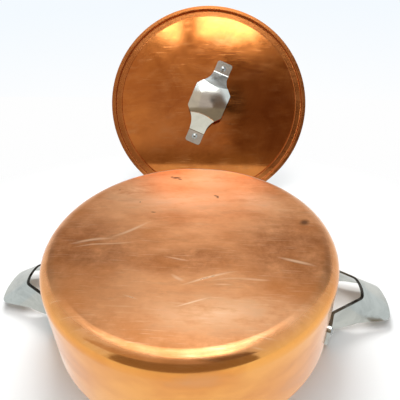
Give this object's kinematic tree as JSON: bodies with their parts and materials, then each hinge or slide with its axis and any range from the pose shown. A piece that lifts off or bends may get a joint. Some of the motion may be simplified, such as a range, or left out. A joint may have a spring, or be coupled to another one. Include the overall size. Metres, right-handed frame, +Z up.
{
  "type": "dutch oven",
  "caption": "Round low copper pan with a steel lining and riveted side handles, upside down on its rim, with its loose lid leaning behind it.",
  "frame": {"origin": "centre of the pan's rim, on the plane it stands on while it is upside down", "axes": "+Z up through the centre of the pan's base, which faces up; the side handles lie along X; the lid leans behind the pan in +Y"},
  "size_m": [0.407, 0.4873, 0.2394],
  "materials": {
    "pan_copper": "satin brushed copper, worn on the base",
    "lid_copper": "polished copper",
    "lining_steel": "brushed stainless steel",
    "handle_steel": "polished stainless steel",
    "rivet_steel": "polished stainless steel"
  },
  "bodies": {
    "pan": {"pan_copper_shell": "pan_copper", "pan_lining": "lining_steel", "side_handle_right": "handle_steel", "side_handle_left": "handle_steel", "rivet_right_near": "rivet_steel", "rivet_right_far": "rivet_steel", "rivet_left_near": "rivet_steel", "rivet_left_far": "rivet_steel"},
    "lid": {"lid_copper_shell": "lid_copper", "lid_lining": "lining_steel", "lid_handle": "handle_steel", "rivet_lid_upper": "rivet_steel", "rivet_lid_lower": "rivet_steel"}
  },
  "joints": [
    {"name": "lid_lift", "type": "slide", "parent": "pan", "child": "lid", "axis": [0, 0, 1], "range_m": [0, 0.15]}
  ]
}
